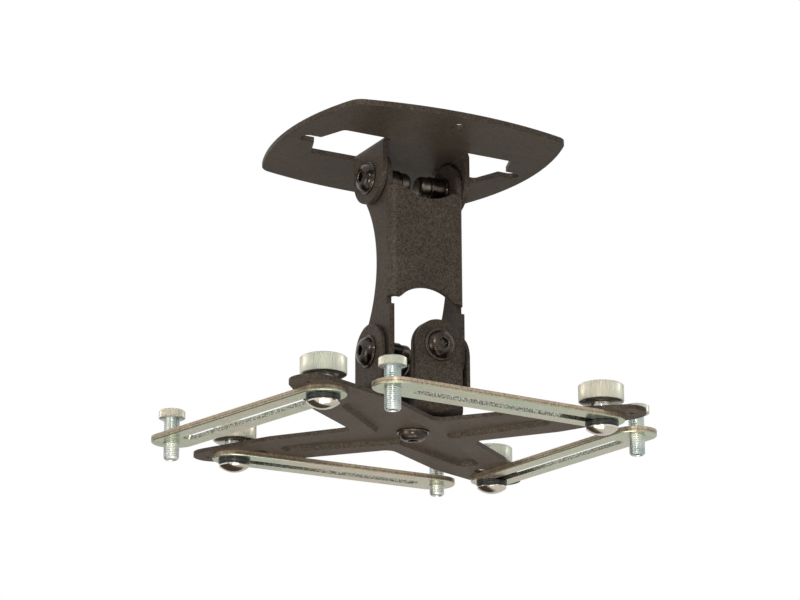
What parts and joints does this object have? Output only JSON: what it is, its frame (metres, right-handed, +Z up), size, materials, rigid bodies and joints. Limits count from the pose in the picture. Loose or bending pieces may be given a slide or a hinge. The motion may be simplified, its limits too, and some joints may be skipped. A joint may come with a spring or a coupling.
{
  "type": "projector ceiling mount",
  "caption": "Tilting ceiling mount for a projector: bowed plate, channel column, tilt and roll brackets, cross-shaped spider with slotted swinging straps and height sleeves.",
  "frame": {"origin": "centre of the ceiling plate's top face, where it meets the ceiling", "axes": "+Z up to the ceiling, +X along the upper tilt axis, -Y the side that the column's web faces"},
  "size_m": [0.2343, 0.206, 0.1756],
  "materials": {
    "black_powder": "fine textured powder coat",
    "black_oxide": "glossy dark oxide",
    "dark_washer": "matt black",
    "yellow_zinc": "passivated zinc plate, punched edges",
    "bright_zinc": "knurled zinc plate",
    "blue_zinc": "bluish zinc plate",
    "polished": "polished dome",
    "clamp_washer": "satin black"
  },
  "bodies": {
    "ceiling_plate": {"ceiling_plate": "black_powder"},
    "column": {"column": "black_powder", "upper_screw_left": "black_oxide", "upper_screw_right": "black_oxide", "upper_nut_left": "black_oxide", "upper_nut_right": "black_oxide", "upper_washer_left": "dark_washer", "upper_washer_right": "dark_washer", "lower_screw_left": "black_oxide", "lower_screw_right": "black_oxide", "lower_nut_left": "black_oxide", "lower_nut_right": "black_oxide", "lower_washer_left": "dark_washer", "lower_washer_right": "dark_washer"},
    "tilt_bracket": {"tilt_bracket": "black_powder", "roll_screw_front": "black_oxide", "roll_screw_back": "black_oxide", "roll_nut_front": "black_oxide", "roll_nut_back": "black_oxide", "roll_washer_front": "dark_washer", "roll_washer_back": "dark_washer"},
    "roll_bracket": {"roll_bracket": "black_powder", "swivel_screw": "black_oxide", "swivel_nut": "black_oxide"},
    "spider": {"spider": "black_powder"},
    "clamp_1": {"clamp_bolt_1": "polished", "clamp_washer_1": "clamp_washer"},
    "thumb_nut_1": {"thumb_nut_1": "bright_zinc"},
    "strap_1": {"strap_1": "yellow_zinc"},
    "sleeve_1": {"sleeve_1": "blue_zinc"},
    "clamp_2": {"clamp_bolt_2": "polished", "clamp_washer_2": "clamp_washer"},
    "thumb_nut_2": {"thumb_nut_2": "bright_zinc"},
    "strap_2": {"strap_2": "yellow_zinc"},
    "sleeve_2": {"sleeve_2": "blue_zinc"},
    "clamp_3": {"clamp_bolt_3": "polished", "clamp_washer_3": "clamp_washer"},
    "thumb_nut_3": {"thumb_nut_3": "bright_zinc"},
    "strap_3": {"strap_3": "yellow_zinc"},
    "sleeve_3": {"sleeve_3": "blue_zinc"},
    "clamp_4": {"clamp_bolt_4": "polished", "clamp_washer_4": "clamp_washer"},
    "thumb_nut_4": {"thumb_nut_4": "bright_zinc"},
    "strap_4": {"strap_4": "yellow_zinc"},
    "sleeve_4": {"sleeve_4": "blue_zinc"}
  },
  "joints": [
    {"name": "column_tilt", "type": "hinge", "parent": "ceiling_plate", "child": "column", "pos_m": [0, 0, -0.02], "axis": [1, 0, 0], "range_deg": [-30, 30]},
    {"name": "spider_tilt", "type": "hinge", "parent": "column", "child": "tilt_bracket", "pos_m": [0, 0, -0.118], "axis": [1, 0, 0], "range_deg": [-25, 25]},
    {"name": "spider_roll", "type": "hinge", "parent": "tilt_bracket", "child": "roll_bracket", "pos_m": [0, 0, -0.118], "axis": [0, 1, 0], "range_deg": [-20, 20]},
    {"name": "spider_swivel", "type": "hinge", "parent": "roll_bracket", "child": "spider", "pos_m": [0, 0, -0.1575], "axis": [0, 0, 1], "continuous": true},
    {"name": "strap_swing_1", "type": "hinge", "parent": "spider", "child": "clamp_1", "pos_m": [-0.08535, -0.06201, -0.1612], "axis": [0, 0, 1], "range_deg": [-2, 120]},
    {"name": "strap_slide_1", "type": "slide", "parent": "clamp_1", "child": "strap_1", "axis": [-0.2079, 0.9781, 0], "range_m": [-0.009, 0]},
    {"name": "sleeve_height_1", "type": "slide", "parent": "strap_1", "child": "sleeve_1", "axis": [0, 0, 1], "range_m": [-0.0102, 0.0089]},
    {"name": "thumb_nut_turn_1", "type": "hinge", "parent": "clamp_1", "child": "thumb_nut_1", "pos_m": [-0.08535, -0.06201, -0.1589], "axis": [0, 0, 1], "continuous": true},
    {"name": "strap_swing_2", "type": "hinge", "parent": "spider", "child": "clamp_2", "pos_m": [-0.06639, 0.08199, -0.1612], "axis": [0, 0, 1], "range_deg": [-2, 120]},
    {"name": "strap_slide_2", "type": "slide", "parent": "clamp_2", "child": "strap_2", "axis": [0.9998, 0.0175, 0], "range_m": [-0.02, 0]},
    {"name": "sleeve_height_2", "type": "slide", "parent": "strap_2", "child": "sleeve_2", "axis": [0, 0, 1], "range_m": [-0.0132, 0.0059]},
    {"name": "thumb_nut_turn_2", "type": "hinge", "parent": "clamp_2", "child": "thumb_nut_2", "pos_m": [-0.06639, 0.08199, -0.1589], "axis": [0, 0, 1], "continuous": true},
    {"name": "strap_swing_3", "type": "hinge", "parent": "spider", "child": "clamp_3", "pos_m": [0.06639, -0.08199, -0.1612], "axis": [0, 0, 1], "range_deg": [-2, 120]},
    {"name": "strap_slide_3", "type": "slide", "parent": "clamp_3", "child": "strap_3", "axis": [-0.9976, -0.0698, 0], "range_m": [-0.0075, 0]},
    {"name": "sleeve_height_3", "type": "slide", "parent": "strap_3", "child": "sleeve_3", "axis": [0, 0, 1], "range_m": [-0.0077, 0.0114]},
    {"name": "thumb_nut_turn_3", "type": "hinge", "parent": "clamp_3", "child": "thumb_nut_3", "pos_m": [0.06639, -0.08199, -0.1589], "axis": [0, 0, 1], "continuous": true},
    {"name": "strap_swing_4", "type": "hinge", "parent": "spider", "child": "clamp_4", "pos_m": [0.08535, 0.06201, -0.1612], "axis": [0, 0, 1], "range_deg": [-2, 120]},
    {"name": "strap_slide_4", "type": "slide", "parent": "clamp_4", "child": "strap_4", "axis": [0.1045, -0.9945, 0], "range_m": [-0.0045, 0]},
    {"name": "sleeve_height_4", "type": "slide", "parent": "strap_4", "child": "sleeve_4", "axis": [0, 0, 1], "range_m": [-0.0087, 0.0104]},
    {"name": "thumb_nut_turn_4", "type": "hinge", "parent": "clamp_4", "child": "thumb_nut_4", "pos_m": [0.08535, 0.06201, -0.1589], "axis": [0, 0, 1], "continuous": true}
  ]
}
